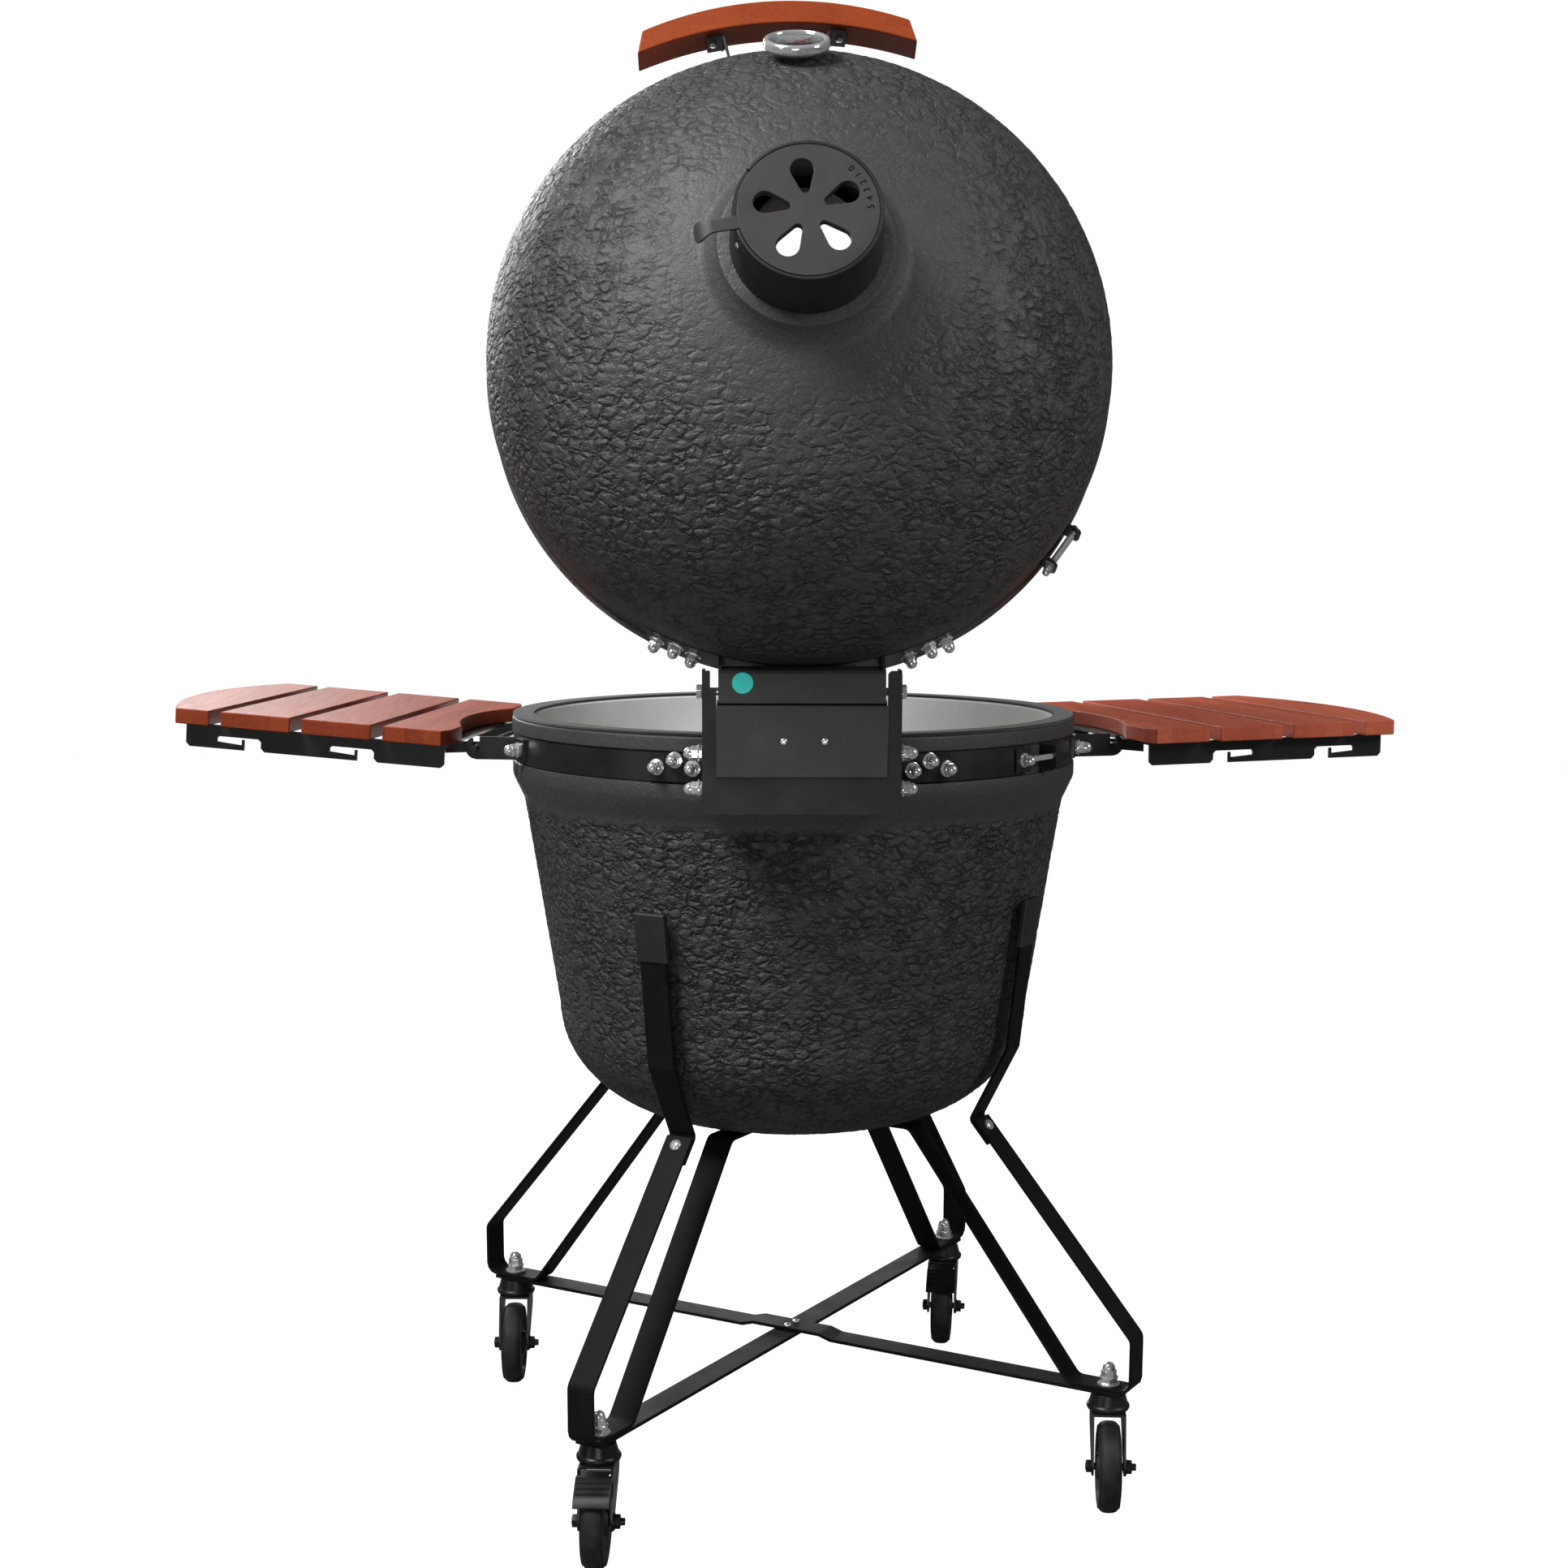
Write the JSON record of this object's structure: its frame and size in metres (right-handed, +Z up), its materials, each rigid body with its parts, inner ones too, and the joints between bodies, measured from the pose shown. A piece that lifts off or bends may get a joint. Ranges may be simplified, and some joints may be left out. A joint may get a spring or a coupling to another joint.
{
  "type": "kamado ceramic charcoal grill",
  "caption": "Egg-shaped ceramic charcoal grill with an open hinged lid, a turning top vent, fold-down slatted side shelves and a flat-bar cart on swivel casters.",
  "frame": {"origin": "on the floor, under the middle of the bowl", "axes": "+Z up, +Y toward the hinge side, -Y toward the handle and the draft door, +X toward the shelf with the steeper tilt"},
  "size_m": [1.3723, 0.9277, 1.6124],
  "materials": {
    "dark_glaze": "charcoal glaze over a pitted, hammered surface",
    "bisque": "pale unglazed ceramic",
    "felt": "dark grey gasket felt",
    "black_coat": "satin black powder coat",
    "black_zinc": "satin black plated steel",
    "vent_iron": "black coated cast iron",
    "grate_iron": "bare cast iron",
    "stainless": "brushed stainless steel",
    "chrome": "polished",
    "shelf_wood": "red-brown stained bamboo, satin lacquer",
    "handle_wood": "orange-red stained bamboo, satin lacquer",
    "wheel_rubber": "matt black",
    "needle_red": "red paint"
  },
  "bodies": {
    "stand": {"bowl_shell": "dark_glaze", "firebox": "bisque", "fire_ring": "bisque", "charcoal_grate": "grate_iron", "bowl_gasket": "felt", "bowl_band": "black_coat", "hinge_base_bracket": "black_coat", "hinge_cover": "black_coat", "hinge_pin": "chrome", "hinge_spring": "stainless", "draft_frame": "stainless", "cradle_ring": "black_coat", "cross_bar_lower": "black_coat", "cross_bar_upper": "black_coat", "shelf_left_arm_back": "black_coat", "shelf_left_arm_front": "black_coat", "shelf_right_arm_back": "black_coat", "shelf_right_arm_front": "black_coat", "leg_near_left": "black_coat", "strap_near_left": "black_coat", "leg_near_right": "black_coat", "strap_near_right": "black_coat", "leg_far_left": "black_coat", "strap_far_left": "black_coat", "leg_far_right": "black_coat", "strap_far_right": "black_coat"},
    "lid": {"lid_dome": "dark_glaze", "lid_gasket": "felt", "lid_band": "black_coat", "hinge_lid_bracket": "black_coat", "chimney_collar": "vent_iron", "vent_base_disc": "vent_iron", "thermometer_body": "chrome", "handle_grip": "handle_wood", "handle_bracket_left": "black_coat", "handle_bracket_right": "black_coat"},
    "vent": {"vent_dial": "vent_iron"},
    "needle": {"thermometer_needle": "needle_red"},
    "door": {"draft_door": "stainless"},
    "grate": {"cooking_grate": "stainless"},
    "caster_near_left": {"caster_fork_near_left": "black_zinc"},
    "wheel_near_left": {"wheel_near_left": "wheel_rubber"},
    "brake_near_left": {"brake_pedal_near_left": "black_zinc"},
    "caster_near_right": {"caster_fork_near_right": "black_zinc"},
    "wheel_near_right": {"wheel_near_right": "wheel_rubber"},
    "caster_far_left": {"caster_fork_far_left": "black_zinc"},
    "wheel_far_left": {"wheel_far_left": "wheel_rubber"},
    "caster_far_right": {"caster_fork_far_right": "black_zinc"},
    "wheel_far_right": {"wheel_far_right": "wheel_rubber"},
    "brake_far_right": {"brake_pedal_far_right": "black_zinc"},
    "shelf_left": {"shelf_left_plank_1": "shelf_wood", "shelf_left_plank_2": "shelf_wood", "shelf_left_plank_3": "shelf_wood", "shelf_left_plank_4": "shelf_wood", "shelf_left_frame": "black_coat"},
    "shelf_right": {"shelf_right_plank_1": "shelf_wood", "shelf_right_plank_2": "shelf_wood", "shelf_right_plank_3": "shelf_wood", "shelf_right_plank_4": "shelf_wood", "shelf_right_frame": "black_coat"}
  },
  "joints": [
    {"name": "lid_hinge", "type": "hinge", "parent": "stand", "child": "lid", "pos_m": [0, 0.343, 0.906], "axis": [-1, 0, 0], "range_deg": [-68.2, 0]},
    {"name": "vent_turn", "type": "hinge", "parent": "lid", "child": "vent", "pos_m": [0, 0.51645, 1.34479], "axis": [0, 0.9285, 0.3714], "range_deg": [-40, 0]},
    {"name": "needle_turn", "type": "hinge", "parent": "lid", "child": "needle", "pos_m": [0.0052, 0.28301, 1.51873], "axis": [0.0145, 0.4149, 0.9097], "range_deg": [-260, 0], "stiffness_Nm_per_rad": 0.002},
    {"name": "draft_slide", "type": "hinge", "parent": "stand", "child": "door", "pos_m": [0, 0, 0.507], "axis": [0, 0, 1], "range_deg": [0, 24]},
    {"name": "grate_lift", "type": "slide", "parent": "stand", "child": "grate", "axis": [0, 0, 1], "range_m": [0, 0.25]},
    {"name": "swivel_near_left", "type": "hinge", "parent": "stand", "child": "caster_near_left", "pos_m": [0.20921, 0.34503, 0.12], "axis": [0, 0, 1], "continuous": true},
    {"name": "roll_near_left", "type": "hinge", "parent": "caster_near_left", "child": "wheel_near_left", "pos_m": [0.21123, 0.37396, 0.05], "axis": [0.9976, -0.0698, 0], "continuous": true},
    {"name": "brake_near_left", "type": "hinge", "parent": "caster_near_left", "child": "brake_near_left", "pos_m": [0.21123, 0.37396, 0.1038], "axis": [0.9976, -0.0698, 0], "range_deg": [0, 18]},
    {"name": "swivel_near_right", "type": "hinge", "parent": "stand", "child": "caster_near_right", "pos_m": [-0.34503, 0.20921, 0.12], "axis": [0, 0, 1], "continuous": true},
    {"name": "roll_near_right", "type": "hinge", "parent": "caster_near_right", "child": "wheel_near_right", "pos_m": [-0.3425, 0.23809, 0.05], "axis": [0.9962, -0.0872, 0], "continuous": true},
    {"name": "swivel_far_left", "type": "hinge", "parent": "stand", "child": "caster_far_left", "pos_m": [0.34503, -0.20921, 0.12], "axis": [0, 0, 1], "continuous": true},
    {"name": "roll_far_left", "type": "hinge", "parent": "caster_far_left", "child": "wheel_far_left", "pos_m": [0.34554, -0.18021, 0.05], "axis": [0.9998, -0.0175, 0], "continuous": true},
    {"name": "swivel_far_right", "type": "hinge", "parent": "stand", "child": "caster_far_right", "pos_m": [-0.20921, -0.34503, 0.12], "axis": [0, 0, 1], "continuous": true},
    {"name": "roll_far_right", "type": "hinge", "parent": "caster_far_right", "child": "wheel_far_right", "pos_m": [-0.20517, -0.31631, 0.05], "axis": [0.9903, -0.1392, 0], "continuous": true},
    {"name": "brake_far_right", "type": "hinge", "parent": "caster_far_right", "child": "brake_far_right", "pos_m": [-0.20517, -0.31631, 0.1038], "axis": [0.9903, -0.1392, 0], "range_deg": [0, 18]},
    {"name": "fold_left", "type": "hinge", "parent": "stand", "child": "shelf_left", "pos_m": [0.33313, -0.04386, 0.8255], "axis": [0.1305, 0.9914, 0], "range_deg": [0, 85]},
    {"name": "fold_right", "type": "hinge", "parent": "stand", "child": "shelf_right", "pos_m": [-0.32455, -0.08696, 0.8255], "axis": [0.2588, -0.9659, 0], "range_deg": [0, 85]}
  ]
}
